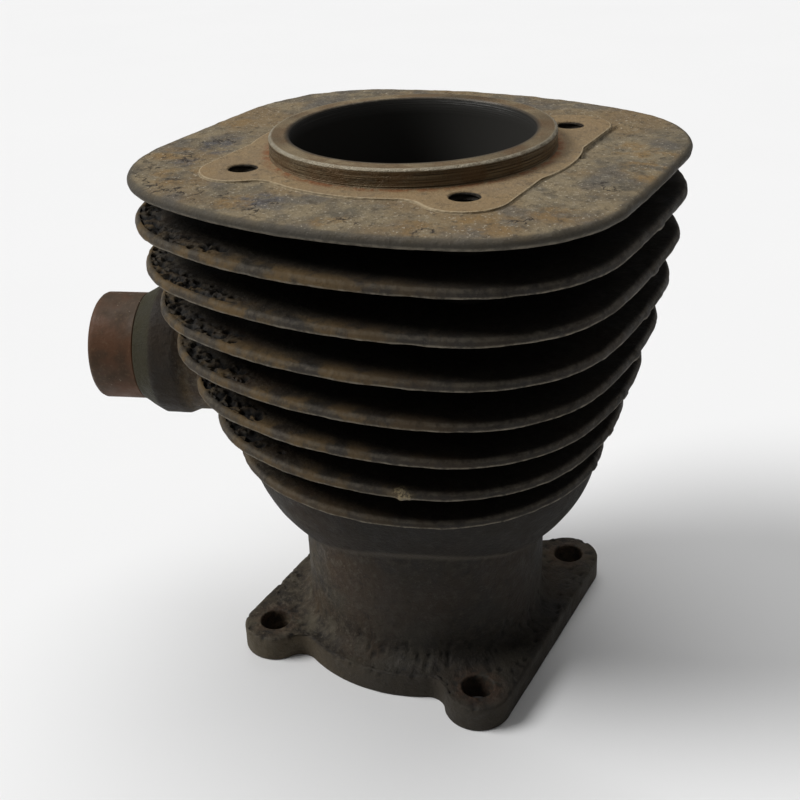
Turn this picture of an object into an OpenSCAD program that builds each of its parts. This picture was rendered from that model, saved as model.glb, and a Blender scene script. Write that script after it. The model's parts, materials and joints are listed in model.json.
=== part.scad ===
// Finned cast-iron cylinder barrel of a small engine, with its pressed-in port stub.
// Millimetres. +Z runs along the bore towards the cylinder head. The origin is the
// centre of the bore on the base joint face. X and Y are square to the two bolt patterns.

/* [Bore and heights] */
// Diameter of the bore
bore_d = 60; // [50:0.5:62]
// Height from the base joint face to the head joint face
barrel_h = 141; // [139:0.5:160]
// Outside diameter of the plain neck
neck_d = 68; // [67:0.5:69]

/* [Head joint] */
// Outside diameter of the spigot ring that centres the head
spigot_d = 70.3; // [70:0.1:72]
// Height of the spigot ring above the head joint face
spigot_h = 4.5; // [3:0.1:6]
// Bevel round the outer edge of the spigot ring
spigot_bevel = 0.9; // [0.3:0.1:1.5]
// Distance between the head holes along X
head_span_x = 57.7; // [56:0.1:60]
// Distance between the head holes along Y
head_span_y = 62.6; // [61:0.1:65]
// Wall diameter of the tapped head holes
head_hole_d = 6.65; // [5:0.05:7]
// Depth of the tapped head holes
head_hole_depth = 20; // [14:0.5:22]

/* [Base joint] */
// Thickness of the base flange
flange_t = 7.5; // [6:0.5:12]
// Distance between the base holes along X
base_span_x = 64.2; // [62:0.1:66]
// Distance between the base holes along Y
base_span_y = 66.4; // [64:0.1:68]
// Diameter of the base holes
base_hole_d = 8.4; // [6:0.1:9]

/* [Fins] */
// Number of fins below the top plate
fin_count = 7; // [4:1:7]
// Distance from one fin to the next
fin_pitch = 11.2; // [9:0.1:11.5]
// Thickness of a fin
fin_t = 2.8; // [2:0.1:3.5]
// Half length of the top plate along X
plate_half_x = 62.8; // [60:0.1:70]
// Half width of the top plate along Y
plate_half_y = 60.9; // [59:0.1:66]
// Corner radius of the top plate
plate_corner_r = 36.2; // [30:0.1:37]

/* [Port] */
// Height of the port axis above the base joint face
port_h = 84.5; // [80:0.5:90]
// Angle of the port axis from -X towards -Y
port_turn = 20; // [15:1:25]
// Distance from the bore axis to the open end of the stub
stub_reach = 87.7; // [84:0.1:100]
// Outside diameter of the stub
stub_d = 29.4; // [28:0.1:30]
// Inside diameter of the stub
stub_bore_d = 24; // [20:0.5:24.5]

/* [Hidden] */
overlap = 0.5;                          // how far joined solids run into each other
round_fn = 96;

plate_t = 3.2;                          // top plate, below the cast face
cast_drop = 0.6;                        // the cast face lies this far below the machined pad
first_fin_drop = 12.4;                  // head joint face to the middle of the first fin
fin_loss_x = 12.9;                      // how much shorter the last fin's half length is
fin_loss_y = 14.2;                      // how much narrower the last fin's half width is
fin_ease_x = 2.2;                       // the fins shrink slowly at first, then faster
fin_ease_y = 2.0;
full_count = 7;                         // fins from full size to smallest

pad_bulge_r = 41.3;                     // round part of the head pad
pad_lobe_r = 10.3;                      // pad round each head hole
flange_bulge_r = 40.2;                  // round part of the base flange
pad_fillet = 7;                         // rounds the pad's inner corners
ear_r = 9;                              // flange ear round each base hole
ear_fillet = 5;                         // rounds the flange's inner corners
foot_r = 5;                             // round where the neck meets the flange
foot_steps = 6;
post_r = 6.8;                           // columns that hold the head hole threads
post_len = 24;

belly_half_long = 48.5;                 // swelling under the fins, long way along the port
belly_half_wide = 38.9;
belly_half_high = 39.2;
belly_z = barrel_h - 80;

boss_r = 17;                            // cast boss round the port
collar_r = 18.2;
collar_start = 62.5;                    // these are distances from the bore axis
collar_end = 69.7;
seat_end = 75.1;
passage_r = 12.5;                       // passage through the casting
insert_r = 13.7;                        // turned-down end of the stub inside the boss
insert_len = 18;
stub_edge = 0.8;                        // bevel on the stub's open end

corner_steps = 10;                      // straight steps in each corner and side arc
side_steps = 5;
lobe_steps = 16;                        // straight steps in each lobe's arc

// Radius of the side arc that touches a corner arc from outside and reaches `reach`.
// c_along and c_across place the corner centre, r is the corner radius.
function side_r(reach, c_along, c_across, r) =
    (pow(reach - c_along, 2) + c_across * c_across - r * r) / (2 * (reach - c_along - r));

// Points of an arc about [cx, cy], without the last one.
function arc(cx, cy, r, from, to, steps) =
    [for (i = [0:steps - 1]) let (t = from + (to - from) * i / steps)
        [cx + r * cos(t), cy + r * sin(t)]];

// One quarter of a rounded rectangle with bulging sides, from +X round to +Y.
function quarter(hx, hy, r, gap_x, gap_y) =
    let (cx = hx - r - gap_x,
         cy = hy - r - gap_y,
         rx = side_r(hx, cx, cy, r),
         ry = side_r(hy, cy, cx, r),
         a = atan2(cy, cx - (hx - rx)),
         b = atan2(cy - (hy - ry), cx))
    concat(arc(hx - rx, 0, rx, 0, a, side_steps),
           arc(cx, cy, r, a, b, corner_steps),
           arc(0, hy - ry, ry, b, 90, side_steps),
           [[0, hy]]);

function reversed(p) = [for (i = [len(p) - 1:-1:0]) p[i]];
// Drops the first point, which the neighbouring quarter already has.
function rest(p) = [for (i = [1:len(p) - 1]) p[i]];

function full_outline(q) =
    let (half = concat(q, rest(reversed([for (p = q) [-p[0], p[1]]]))))
    concat(half, [for (i = [1:len(half) - 2]) -half[i]]);

// Outline of plate number i: 0 is the top plate, and the fins below it shrink and get rounder.
module fin_outline(i) {
    t = i / full_count;
    r = plate_corner_r + 4 * t;
    polygon(full_outline(quarter(plate_half_x - fin_loss_x * pow(t, fin_ease_x),
                                 plate_half_y - fin_loss_y * pow(t, fin_ease_y),
                                 r, 0.4 + t, 4.3 - 2.6 * t)));
}

// One quarter of a round face with a lobe about [hx, hy], from +X round to +Y. Its side
// along Y is straight, and an arc of fillet_r fills the corner between lobe and round part.
function lobed_quarter(bulge_r, lobe_r, hx, hy, fillet_r) =
    let (far = norm([hx, hy]),
         reach = bulge_r + fillet_r,
         gap = acos((far * far + reach * reach - pow(lobe_r + fillet_r, 2)) / (2 * far * reach)),
         middle = atan2(hy, hx) + gap,
         fx = reach * cos(middle),
         fy = reach * sin(middle),
         lobe_end = atan2(fy - hy, fx - hx),
         side_x = hx + lobe_r,
         turn = acos(min(1, side_x / bulge_r)))
    concat(turn > 0 ? arc(0, 0, bulge_r, 0, turn, side_steps) : [],
           [[side_x, bulge_r * sin(turn)]],
           arc(hx, hy, lobe_r, 0, lobe_end, lobe_steps),
           arc(fx, fy, fillet_r, lobe_end + 180, middle + 180, side_steps),
           arc(0, 0, bulge_r, middle, 90, side_steps),
           [[0, bulge_r]]);

// A joint face with four lobes, one round each hole of a bolt pattern.
module lobed_outline(bulge_r, lobe_r, span_x, span_y, fillet_r) {
    polygon(full_outline(lobed_quarter(bulge_r, lobe_r, span_x / 2, span_y / 2, fillet_r)));
}

module four_at(span_x, span_y) {
    for (x = [-1, 1], y = [-1, 1])
        translate([x * span_x / 2, y * span_y / 2])
            children();
}

// Turns a solid built along +Z into one along the port, starting at the bore axis.
module along_port() {
    translate([0, 0, port_h])
        rotate([0, 0, port_turn])
            rotate([0, -90, 0])
                children();
}

module fins() {
    for (i = [1:fin_count])
        translate([0, 0, barrel_h - first_fin_drop - (i - 1) * fin_pitch - fin_t / 2])
            linear_extrude(fin_t)
                fin_outline(i);
}

module head_end() {
    translate([0, 0, barrel_h - cast_drop - plate_t])
        linear_extrude(plate_t)
            fin_outline(0);
    translate([0, 0, barrel_h - cast_drop - overlap])
        linear_extrude(cast_drop + overlap)
            lobed_outline(pad_bulge_r, pad_lobe_r, head_span_x, head_span_y, pad_fillet);
    translate([0, 0, barrel_h - overlap])
        rotate_extrude($fn = round_fn)
            polygon([[bore_d / 2 - 1, 0],
                     [spigot_d / 2, 0],
                     [spigot_d / 2, spigot_h - spigot_bevel + overlap],
                     [spigot_d / 2 - spigot_bevel, spigot_h + overlap],
                     [bore_d / 2 - 1, spigot_h + overlap]]);
    translate([0, 0, barrel_h - cast_drop - post_len])
        four_at(head_span_x, head_span_y)
            cylinder(r = post_r, h = post_len, $fn = round_fn);
}

module base_end() {
    linear_extrude(flange_t)
        lobed_outline(flange_bulge_r, ear_r, base_span_x, base_span_y, ear_fillet);
    neck_r = neck_d / 2;
    rotate_extrude($fn = round_fn)
        polygon(concat([[bore_d / 2 + 1, flange_t + foot_r],
                        [bore_d / 2 + 1, flange_t - overlap],
                        [neck_r + foot_r, flange_t - overlap]],
                       rest(arc(neck_r + foot_r, flange_t + foot_r, foot_r, 270, 180, foot_steps)),
                       [[neck_r - overlap, flange_t + foot_r]]));
}

// Swelling round the port passages: the lower half of an ellipsoid.
module belly() {
    intersection() {
        translate([0, 0, belly_z])
            rotate([0, 0, port_turn])
                scale([belly_half_long, belly_half_wide, belly_half_high])
                    sphere(r = 1, $fn = 40);
        translate([0, 0, belly_z - belly_half_high])
            cylinder(r = belly_half_long + 1, h = belly_half_high, $fn = round_fn);
    }
}

module port_boss() {
    along_port()
        rotate_extrude($fn = round_fn)
            polygon([[0, bore_d / 2 - 1],
                     [boss_r, bore_d / 2 - 1],
                     [boss_r, collar_start - 1],
                     [collar_r, collar_start],
                     [collar_r, collar_end],
                     [stub_d / 2, seat_end],
                     [0, seat_end]]);
}

module cylinder_barrel() {
    color([0.27, 0.23, 0.19])
    difference() {
        union() {
            cylinder(d = neck_d, h = barrel_h, $fn = round_fn);
            base_end();
            head_end();
            fins();
            belly();
            port_boss();
        }
        translate([0, 0, -1])
            cylinder(d = bore_d, h = barrel_h + spigot_h + 2, $fn = round_fn);
        translate([0, 0, -1])
            four_at(base_span_x, base_span_y)
                cylinder(d = base_hole_d, h = flange_t + 2, $fn = round_fn);
        translate([0, 0, barrel_h - head_hole_depth])
            four_at(head_span_x, head_span_y)
                cylinder(d = head_hole_d, h = head_hole_depth + 1, $fn = round_fn);
        along_port() {
            cylinder(r = passage_r, h = seat_end, $fn = round_fn);
            translate([0, 0, seat_end - insert_len])
                cylinder(r = insert_r, h = insert_len + 1, $fn = round_fn);
        }
    }
}

// Turned steel tube: the thin end is pressed into the boss up to the shoulder.
module port_stub() {
    color([0.42, 0.24, 0.17])
    along_port()
        rotate_extrude($fn = round_fn)
            polygon([[stub_bore_d / 2, seat_end - insert_len],
                     [insert_r, seat_end - insert_len],
                     [insert_r, seat_end],
                     [stub_d / 2, seat_end],
                     [stub_d / 2, stub_reach - stub_edge],
                     [stub_d / 2 - stub_edge, stub_reach],
                     [stub_bore_d / 2, stub_reach]]);
}

cylinder_barrel();
port_stub();
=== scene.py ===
"""Looks of a finned cast-iron cylinder barrel with its pressed-in steel port stub.

Lengths are in millimetres in the row frame until MM turns them into metres.
The casting is one skin: closed rings from the base joint face up to the spigot ring,
with the port boss and the screw columns joined on and every hole cut in.
"""

import json
import math

import bmesh
import bpy
import numpy as np
from mathutils import Matrix, Vector


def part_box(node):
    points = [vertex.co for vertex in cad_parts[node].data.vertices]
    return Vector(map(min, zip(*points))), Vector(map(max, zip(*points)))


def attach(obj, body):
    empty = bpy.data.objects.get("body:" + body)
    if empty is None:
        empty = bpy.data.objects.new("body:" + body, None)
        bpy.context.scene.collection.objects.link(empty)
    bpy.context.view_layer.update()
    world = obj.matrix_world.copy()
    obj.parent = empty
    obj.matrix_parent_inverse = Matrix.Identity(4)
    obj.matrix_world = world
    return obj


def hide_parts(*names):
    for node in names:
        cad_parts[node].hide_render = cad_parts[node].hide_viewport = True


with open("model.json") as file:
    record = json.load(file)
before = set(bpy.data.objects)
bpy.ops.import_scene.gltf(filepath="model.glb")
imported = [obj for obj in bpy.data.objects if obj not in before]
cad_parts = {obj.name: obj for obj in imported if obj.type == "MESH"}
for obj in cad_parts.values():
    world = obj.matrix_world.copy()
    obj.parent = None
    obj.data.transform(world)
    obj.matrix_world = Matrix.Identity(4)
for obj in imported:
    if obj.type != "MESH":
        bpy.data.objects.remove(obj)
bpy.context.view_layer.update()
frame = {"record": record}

MM = 0.001
mounts = {mount["name"]: mount for mount in frame["record"]["mounts"]}

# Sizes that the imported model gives
BORE_R = mounts["bore"]["dims"]["r_mm"]
TOP_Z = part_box("cylinder_barrel")[1].z / MM
PLATE_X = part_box("cylinder_barrel")[1].x / MM
PLATE_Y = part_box("cylinder_barrel")[1].y / MM
HEAD_Z = mounts["head_spigot"]["pos_m"][2] / MM
SPIGOT_R = mounts["head_spigot"]["dims"]["r_mm"]
HEAD_HOLES = mounts["head_holes"]["dims"]
BASE_HOLES = mounts["base_holes"]["dims"]
STUB_R = mounts["stub_outside"]["dims"]["r_mm"]
STUB_BORE_R = mounts["stub_bore"]["dims"]["r_mm"]
PORT_AXIS = Vector(mounts["stub_bore"]["axis"])
PORT_END = Vector(mounts["stub_bore"]["pos_m"]) / MM
PORT_Z = PORT_END.z
STUB_REACH = math.hypot(PORT_END.x, PORT_END.y)
PORT_TURN = math.atan2(PORT_AXIS.y, PORT_AXIS.x)

# Shape of the casting
NECK_R = 34
FLANGE_T = 7.5
FLANGE_BULGE_R = 40.2
EAR_R = 9
EAR_FILLET = 5
FOOT_R = 5
EDGE_R = 0.8
CAST_Z = HEAD_Z - 0.6       # the top plate's cast face, below the machined pad
DECK_T = 3.2
PAD_BULGE_R = 41.3
PAD_LOBE_R = 10.3
PAD_FILLET = 7
FIN_COUNT = 7
FIN_PITCH = 11.2
FIN_T = 2.8
FIRST_FIN_Z = HEAD_Z - 12.4
BELLY_Z = HEAD_Z - 80       # the swelling under the fins is half an ellipsoid, widest at this height
BELLY_HALF = (48.5, 38.9, 39.2)
BOSS_R = 17
COLLAR_R = 18.2
COLLAR = (62.5, 69.7)       # these two are distances from the bore axis along the port
SEAT = 75.1
PASSAGE_R = 12.5
INSERT_R = 13.7             # the stub's thin end, pressed into the boss
INSERT_LEN = 18
POST_R = 6.8
POST_LEN = 24
HEAD_HOLE_DEPTH = 20
THREAD_PITCH = 1.25
THREAD_DEEP = 0.5
SKIN_R = BORE_R - 4         # the skin's flat ends reach in to here, and the bore is cut afterwards

# Plate outlines: the top plate's corner arcs, and how the fins below it shrink and get rounder
CORNER_R = 36.2
CORNER_GAIN = 4
CORNER_GAP = (0.4, 4.3)     # how far the sides bulge out past the corner arcs
FIN_LOSS = (12.9, 14.2)
FIN_EASE = (2.2, 2)

# Cross-sections of a plate's edge: (distance in from the outline, height), listed upwards
FIN_TIP = ((0.5, -1.15), (0.12, -0.98), (0.0, -0.75), (0.03, -0.4), (0.1, 0.1), (0.25, 0.55),
           (0.55, 0.95), (0.9, 1.15))
PLATE_RIM = ((0.9, 0.35), (0.45, 0.6), (0.15, 0.95), (0.0, 1.45), (0.03, 1.9), (0.2, 2.3), (0.55, 2.68),
             (1.1, 2.92))

# Marks on the top plate: (x, y, size)
CRACKS = ((-45, -45, 12), (-52, -31, 12), (-36, -49, 9), (-25, -50, 7), (-48, -13, 8), (12, -54, 5),
          (47, -41, 6), (-20, 50, 9), (54, -12, 6), (30, -52, 5), (-8, -53, 7))
SMUDGES = ((-49, -12, 8), (-46, -19, 6), (-46, -31, 5), (-12, -49, 7), (38, 2, 5))
RUST_SPOTS = ((57, 5, 8), (62, -3, 6), (47, 20, 7), (56, 16, 7), (40, -44, 9), (50, -33, 7),
              (28, -51, 7), (-40, -40, 10), (-53, -26, 8), (-16, -52, 7), (8, -54, 5), (-57, 5, 6))
RECESS_STEP = ((40.5, 6.0), (47.5, 11.0))   # the crack along the recess's lower edge

# Places round the bore: (bearing in degrees, half width)
PITTED_SIDE = (224, 36)
OCHRE_SIDE = (230, 85)
# painted shade: the side away from the key lamp, darkened in the colour
SHADED_SIDE = (330, 105)
FLASH_LINES = ((2, 2.6), (180, 2.2))

# The blob of filler on the front edge of the sixth fin: its middle and its half sizes
LUMP = (20, -47.8, FIRST_FIN_Z - 5 * FIN_PITCH)
LUMP_SIZE = (3.8, 3, 1.7)

N = 576                     # points round every ring of the skin
ANGLE = np.arange(N) * 2 * math.pi / N


# ---------------------------------------------------------------- noise

def corner_value(cell, seed):
    """A repeatable value from 0 to 1 for each whole-numbered (n, 3) cell."""
    c = cell.astype(np.int64).astype(np.uint32)
    h = c[:, 0] * np.uint32(73856093) ^ c[:, 1] * np.uint32(19349663) ^ c[:, 2] * np.uint32(83492791)
    h ^= np.uint32(seed * 2654435 % 4294967291)
    for _ in range(2):
        h ^= h >> np.uint32(15)
        h *= np.uint32(2246822519)
        h ^= h >> np.uint32(13)
    return h.astype(float) / 4294967295


def value_noise(p, size, seed):
    """Smooth noise from -1 to 1 with bumps about size millimetres across."""
    q = p / size
    cell = np.floor(q)
    f = q - cell
    f = f * f * (3 - 2 * f)
    total = np.zeros(len(p))
    for k in range(8):
        corner = np.array([k & 1, k >> 1 & 1, k >> 2])
        weight = np.prod(np.where(corner, f, 1 - f), axis=1)
        total += weight * corner_value(cell + corner, seed)
    return total * 2 - 1


def fractal(p, size, seed, octaves=3):
    """Noise from -1 to 1 with finer noise added in, each step half as large as the one before."""
    total = sum(value_noise(p, size / 2 ** k, seed + k) / 2 ** k for k in range(octaves))
    return total / (2 - 2 ** (1 - octaves))


def cell_distance(p, size, seed):
    """Distance to the nearest of a set of scattered points, in units of their spacing."""
    q = p / size
    cell = np.floor(q)
    best = np.full(len(p), 9.0)
    for k in range(27):
        near = cell + np.array([k % 3 - 1, k // 3 % 3 - 1, k // 9 - 1])
        spot = near + np.stack([corner_value(near, seed + j) for j in range(3)], axis=1)
        best = np.minimum(best, np.linalg.norm(q - spot, axis=1))
    return best


def smooth(x, low, high):
    """0 below low and 1 above high, with a soft step in between; low may be the larger one."""
    t = np.clip((x - low) / (high - low), 0, 1)
    return t * t * (3 - 2 * t)


# ---------------------------------------------------------------- outlines

def side_radius(reach, along, across, r):
    """Radius of the side arc that touches a corner arc of radius r and reaches this far."""
    return ((reach - along) ** 2 + across ** 2 - r ** 2) / (2 * (reach - along - r))


def ray_to_circle(u, v, cx, cy, r):
    """How far the ray (u, v) from the bore axis goes to leave a circle that it meets."""
    along = u * cx + v * cy
    return along + np.sqrt(np.maximum(r * r - cx * cx - cy * cy + along ** 2, 0))


def plate_outline(share):
    """Outline of a plate: share 0 is the top plate and 1 the lowest, smallest fin."""
    hx = PLATE_X - FIN_LOSS[0] * share ** FIN_EASE[0]
    hy = PLATE_Y - FIN_LOSS[1] * share ** FIN_EASE[1]
    r = CORNER_R + CORNER_GAIN * share
    cx = hx - r - CORNER_GAP[0] - share
    cy = hy - r - CORNER_GAP[1] + 2.6 * share
    rx = side_radius(hx, cx, cy, r)
    ry = side_radius(hy, cy, cx, r)
    a = math.atan2(cy, cx - hx + rx)
    b = math.atan2(cy - hy + ry, cx)
    first = math.atan2(cy + r * math.sin(a), cx + r * math.cos(a))
    last = math.atan2(cy + r * math.sin(b), cx + r * math.cos(b))
    u, v = np.abs(np.cos(ANGLE)), np.abs(np.sin(ANGLE))
    turn = np.arctan2(v, u)
    reach = ray_to_circle(u, v, cx, cy, r)
    reach = np.where(turn < first, ray_to_circle(u, v, hx - rx, 0, rx), reach)
    reach = np.where(turn > last, ray_to_circle(u, v, 0, hy - ry, ry), reach)
    return on_rays(reach)


def arc_points(cx, cy, r, start, stop):
    a = np.linspace(start, stop, 60)
    return np.stack([cx + r * np.cos(a), cy + r * np.sin(a)], axis=1)


def lobed_outline(bulge_r, lobe_r, holes, fillet):
    """A round face with a lobe about each hole, straight sides along Y and filleted corners."""
    lx, ly = holes["spacing_x_mm"] / 2, holes["spacing_y_mm"] / 2
    side_x = lx + lobe_r
    # the fillet's centre is bulge_r + fillet from the bore and lobe_r + fillet from the hole
    far, reach = math.hypot(lx, ly), bulge_r + fillet
    gap = math.acos((far ** 2 + reach ** 2 - (lobe_r + fillet) ** 2) / (2 * far * reach))
    middle = math.atan2(ly, lx) + gap
    fx, fy = reach * math.cos(middle), reach * math.sin(middle)
    lobe_end = math.atan2(fy - ly, fx - lx)
    parts = [arc_points(lx, ly, lobe_r, 0, lobe_end),
             arc_points(fx, fy, fillet, lobe_end - math.pi, middle - math.pi),
             arc_points(0, 0, bulge_r, middle, math.pi / 2)]
    if bulge_r > side_x:
        turn = math.acos(side_x / bulge_r)
        parts.insert(0, arc_points(0, 0, bulge_r, 0, turn))
    else:
        parts.insert(0, np.array([[side_x, 0.0]]))
    quarter = np.concatenate(parts)
    half = np.concatenate([quarter, quarter[-2::-1] * [-1, 1]])
    return evenly(np.concatenate([half, -half[1:-1]]))


def on_rays(reach):
    """Points at these distances from the bore axis, one at each of the N angles."""
    return np.stack([reach * np.cos(ANGLE), reach * np.sin(ANGLE)], axis=1)


def circle(r):
    return on_rays(np.full(N, float(r)))


def outward(outline):
    """Unit normals of a closed outline, from each point's neighbours."""
    along = np.roll(outline, -1, axis=0) - np.roll(outline, 1, axis=0)
    normal = np.stack([along[:, 1], -along[:, 0]], axis=1)
    return normal / np.linalg.norm(normal, axis=1)[:, None]


def evenly(outline):
    """The same outline with its points at equal distances, so that steep stretches get their share."""
    closed = np.vstack([outline, outline[:1]])
    step = np.concatenate([[0], np.cumsum(np.linalg.norm(np.diff(closed, axis=0), axis=1))])
    at = np.linspace(0, step[-1], N + 1)[:-1]
    return np.stack([np.interp(at, step, closed[:, k]) for k in range(2)], axis=1)


# ---------------------------------------------------------------- rings of the skin

def ring(outline, z, inset=0.0):
    """The outline as a ring at height z, moved in by inset."""
    moved = outline - outward(outline) * inset
    return np.column_stack([moved, np.broadcast_to(z, N)])


def between(start, end, shares):
    """Rings at these shares of the way from start to end."""
    return [start + (end - start) * s for s in shares]


def fin_rings(number):
    """Rings round one fin, from the wall under it, out round the tip and back to the wall."""
    middle = FIRST_FIN_Z - (number - 1) * FIN_PITCH
    outline = plate_outline(number / FIN_COUNT)
    tip, root = FIN_T / 2 - 0.15, FIN_T / 2 + 0.25
    inner = outline - outward(outline) * tip
    foot = circle(NECK_R + 2)
    rings = []
    for side, steps in ((-1, 7), (1, 18)):
        face = []
        for k in range(steps + 1):
            share = (k / steps) ** 1.4
            flat = inner + (foot - inner) * share
            height = middle + side * (tip + (root - tip) * share)
            face.append(np.column_stack([flat, np.full(N, height)]))
        for inset, rise in ((1.4, 0.6), (2.0, 2.0)):
            r = NECK_R + 2 - inset
            face.append(ring(circle(r), middle + side * (root + rise)))
        if side < 0:
            rings += face[::-1]
            rings += [ring(outline, middle + height, inset) for inset, height in FIN_TIP]
        else:
            rings += face
    return rings


def flange_rings():
    """The base flange, from the joint face under it to the foot of the neck."""
    edge = lobed_outline(FLANGE_BULGE_R, EAR_R, BASE_HOLES, EAR_FILLET)
    rings = between(ring(circle(SKIN_R), 0), ring(edge, 0, 0.5), np.linspace(0, 1, 9))
    rings += [ring(edge, 0.15, 0.15), ring(edge, 0.5)]
    rings += [ring(edge, z) for z in np.linspace(1.3, FLANGE_T - EDGE_R, 7)]
    for a in np.radians([30, 60, 90]):
        rings.append(ring(edge, FLANGE_T - EDGE_R * (1 - math.sin(a)), EDGE_R * (1 - math.cos(a))))
    foot = ring(circle(NECK_R + FOOT_R), FLANGE_T)
    rings += between(rings[-1], foot, (np.arange(1, 15) / 14) ** 0.9)
    for a in np.radians([15, 30, 45, 60, 75]):
        r = NECK_R + FOOT_R * (1 - math.sin(a))
        rings.append(ring(circle(r), FLANGE_T + FOOT_R * (1 - math.cos(a))))
    return rings


def belly_ring(z):
    """One ring of the neck, with the swelling that lies along the port."""
    shrink = math.sqrt(max(0.0, 1 - ((z - BELLY_Z) / BELLY_HALF[2]) ** 2))
    a, b = BELLY_HALF[0] * shrink + 1e-3, BELLY_HALF[1] * shrink + 1e-3
    turned = ANGLE - PORT_TURN
    swell = 1 / np.sqrt((np.cos(turned) / a) ** 2 + (np.sin(turned) / b) ** 2)
    rise = swell - NECK_R
    reach = NECK_R + np.where(rise > 0, rise, 0)
    return np.column_stack([on_rays(reach), np.full(N, z)])


def head_rings():
    """The top plate with its rolled rim, the machined pad and the spigot ring."""
    rim = plate_outline(0)
    under = CAST_Z - DECK_T
    rings = []
    foot = ring(circle(NECK_R + 2.5), under)
    rings += [ring(circle(NECK_R), under - 2.5), ring(circle(NECK_R + 0.8), under - 0.8), foot]
    inner = ring(rim, under + 0.15, 1.6)
    rings += between(foot, inner, (np.arange(1, 8) / 7) ** 0.6)
    rings += [ring(rim, under + height, inset) for inset, height in PLATE_RIM]
    pad = lobed_outline(PAD_BULGE_R, PAD_LOBE_R, HEAD_HOLES, PAD_FILLET)
    start = ring(rim, CAST_Z - 0.2, 1.8)
    end = ring(pad, CAST_Z, -0.2)
    for share in np.arange(0, 23) / 22:
        step = start + (end - start) * share
        step[:, 2] = CAST_Z - 0.2 * (1 - share) ** 3
        rings.append(step)
    rings += [ring(pad, CAST_Z + 0.05, -0.1), ring(pad, HEAD_Z - 0.08, 0), ring(pad, HEAD_Z - 0.03, 0.16)]
    spigot = circle(SPIGOT_R)
    rings += between(ring(pad, HEAD_Z, 0.4), ring(spigot, HEAD_Z, -0.25), np.linspace(0, 1, 12))
    bevel, groove = 0.5, 0.12
    top = TOP_Z - bevel
    for k, z in enumerate(np.linspace(HEAD_Z + 0.15, top, 19)):
        rings.append(ring(spigot, z, groove * (k % 2) * math.sin(k * 1.7) ** 2))
    rings += [ring(spigot, top + 0.1, 0.05), ring(spigot, TOP_Z - 0.1, bevel - 0.05)]
    rings.append(ring(spigot, TOP_Z, bevel + 0.1))
    hollow = ring(circle(SKIN_R), TOP_Z)
    rings += between(ring(spigot, TOP_Z, bevel + 0.5), hollow, np.linspace(0, 1, 7))
    return rings


def skin_rings():
    """All the rings, from the joint face under the flange up to the spigot's top."""
    rings = flange_rings()
    lowest_fin = FIRST_FIN_Z - (FIN_COUNT - 1) * FIN_PITCH
    rings += [belly_ring(z) for z in np.linspace(FLANGE_T + FOOT_R, lowest_fin - FIN_T / 2 - 0.6, 70)]
    for number in range(FIN_COUNT, 0, -1):
        rings += fin_rings(number)
    return rings + head_rings()


# ---------------------------------------------------------------- meshes

def mesh_object(name, points, faces):
    """An object from points in millimetres and faces, each a list of point numbers."""
    mesh = bpy.data.meshes.new(name)
    mesh.from_pydata((np.asarray(points) * MM).tolist(), [], faces)
    mesh.update()
    obj = bpy.data.objects.new(name, mesh)
    bpy.context.scene.collection.objects.link(obj)
    return obj


def grid_faces(rows, columns, closed=False):
    """Quads of rows of points, each row being a ring; closed joins the last row to the first."""
    i, j = np.meshgrid(np.arange(rows if closed else rows - 1), np.arange(columns), indexing="ij")
    up, right = (i + 1) % rows, (j + 1) % columns
    corners = [i * columns + j, i * columns + right, up * columns + right, up * columns + j]
    return np.stack(corners, axis=-1).reshape(-1, 4).tolist()


def stacked(name, rings, closed=False):
    """A solid from rings of equal length. An open stack gets a flat face at each end."""
    count = len(rings[0])
    faces = grid_faces(len(rings), count, closed)
    if not closed:
        last = (len(rings) - 1) * count
        faces.append(list(range(count - 1, -1, -1)))
        faces.append(list(range(last, last + count)))
    return mesh_object(name, np.concatenate(rings), faces)


def turned(name, profile, segments, closed=False):
    """A solid of revolution about Z from (radius, height) points, listed upwards."""
    a = np.arange(segments) * 2 * math.pi / segments
    rings = [np.column_stack([r * np.cos(a), r * np.sin(a), np.full(segments, z)]) for r, z in profile]
    return stacked(name, rings, closed)


def fine(profile, step):
    """The same profile with points added so that none are further apart than step."""
    points = [profile[0]]
    for (r0, z0), (r1, z1) in zip(profile, profile[1:]):
        count = max(1, math.ceil(math.hypot(r1 - r0, z1 - z0) / step))
        points += [(r0 + (r1 - r0) * k / count, z0 + (z1 - z0) * k / count) for k in range(1, count + 1)]
    return points


def along_port(obj):
    """Lays a solid turned about Z along the port, its height counted from the bore axis."""
    turn = Vector((0, 0, 1)).rotation_difference(PORT_AXIS).to_matrix().to_4x4()
    obj.data.transform(Matrix.Translation((0, 0, PORT_Z * MM)) @ turn)
    return obj


def at_holes(make, holes):
    """One solid of four copies, at the corners of a bolt pattern."""
    made = []
    for sx in (-1, 1):
        for sy in (-1, 1):
            obj = make()
            obj.data.transform(Matrix.Translation((sx * holes["spacing_x_mm"] / 2 * MM,
                                                   sy * holes["spacing_y_mm"] / 2 * MM, 0)))
            made.append(obj)
    return join(made)


def join(objects):
    with bpy.context.temp_override(active_object=objects[0], selected_editable_objects=objects):
        bpy.ops.object.join()
    return objects[0]


def boolean(obj, tool, operation):
    """Joins or cuts obj with tool, and removes the tool."""
    step = obj.modifiers.new("step", "BOOLEAN")
    step.object = tool
    step.operation = operation
    step.solver = "MANIFOLD"
    made = bpy.data.meshes.new_from_object(obj.evaluated_get(bpy.context.evaluated_depsgraph_get()))
    obj.modifiers.clear()
    obj.data = made
    bpy.data.objects.remove(tool)


def coordinates(mesh):
    co = np.empty(len(mesh.vertices) * 3, np.float32)
    mesh.vertices.foreach_get("co", co)
    return co.reshape(-1, 3).astype(float) / MM


def normals(mesh):
    n = np.empty(len(mesh.vertices) * 3, np.float32)
    mesh.vertex_normals.foreach_get("vector", n)
    return n.reshape(-1, 3).astype(float)


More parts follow.
